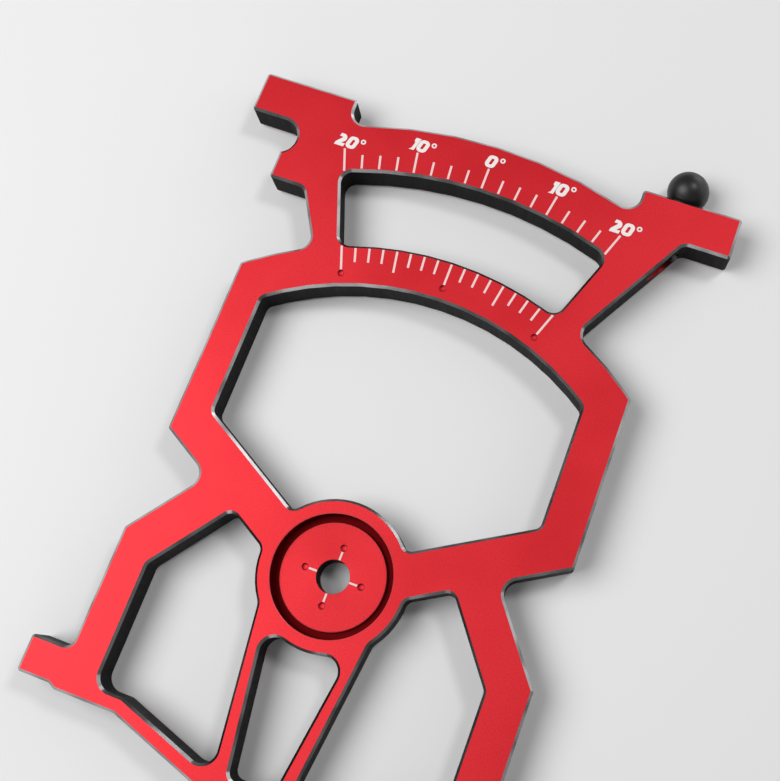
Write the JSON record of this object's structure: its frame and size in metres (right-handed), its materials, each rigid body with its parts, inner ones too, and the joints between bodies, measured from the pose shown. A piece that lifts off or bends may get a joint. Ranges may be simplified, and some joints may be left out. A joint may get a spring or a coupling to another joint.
{
  "type": "wheel alignment plate",
  "caption": "Flat red aluminium alignment plate for a model car axle, with a bearing hub, an arched angle scale, window cut-outs and a ball stud on one tab.",
  "frame": {"origin": "on the hub axis, in the plane of the plate's back face", "axes": "+Z along the hub axis out of the printed face, +Y from the hub to the zero mark, +X to the ball stud's side"},
  "size_m": [0.0702, 0.0986, 0.0058],
  "materials": {
    "plate_red": "satin red anodise",
    "hub_red": "satin red anodise",
    "stud_black": "satin black",
    "bearing_steel": "ground",
    "cage_steel": "pressed",
    "seal_rubber": "matt",
    "print_white": "matt print"
  },
  "bodies": {
    "plate": {"frame_plate": "plate_red", "toe_ball_stud": "stud_black", "bearing_outer_race": "bearing_steel", "bearing_front_seal": "seal_rubber", "bearing_rear_seal": "seal_rubber", "upper_long_ticks": "print_white", "upper_short_ticks": "print_white", "lower_long_ticks": "print_white", "lower_short_ticks": "print_white", "numeral_left_20": "print_white", "numeral_left_10": "print_white", "numeral_0": "print_white", "numeral_right_10": "print_white", "numeral_right_20": "print_white"},
    "hub": {"axle_hub": "hub_red", "bearing_inner_race": "bearing_steel", "hub_index_marks": "print_white"},
    "cage": {"bearing_cage": "cage_steel", "bearing_ball_1": "bearing_steel", "bearing_ball_2": "bearing_steel", "bearing_ball_3": "bearing_steel", "bearing_ball_4": "bearing_steel", "bearing_ball_5": "bearing_steel", "bearing_ball_6": "bearing_steel", "bearing_ball_7": "bearing_steel", "bearing_ball_8": "bearing_steel", "bearing_ball_9": "bearing_steel", "bearing_ball_10": "bearing_steel", "bearing_ball_11": "bearing_steel", "bearing_ball_12": "bearing_steel", "bearing_ball_13": "bearing_steel"}
  },
  "joints": [
    {"name": "hub_spin", "type": "hinge", "parent": "plate", "child": "hub", "pos_m": [0, 0, 0.00135], "axis": [0, 0, 1], "continuous": true},
    {"name": "cage_spin", "type": "hinge", "parent": "plate", "child": "cage", "pos_m": [0, 0, 0.00135], "axis": [0, 0, 1], "continuous": true}
  ],
  "couplings": [
    {"joint": "cage_spin", "follows": "hub_spin", "ratio": 0.441}
  ]
}
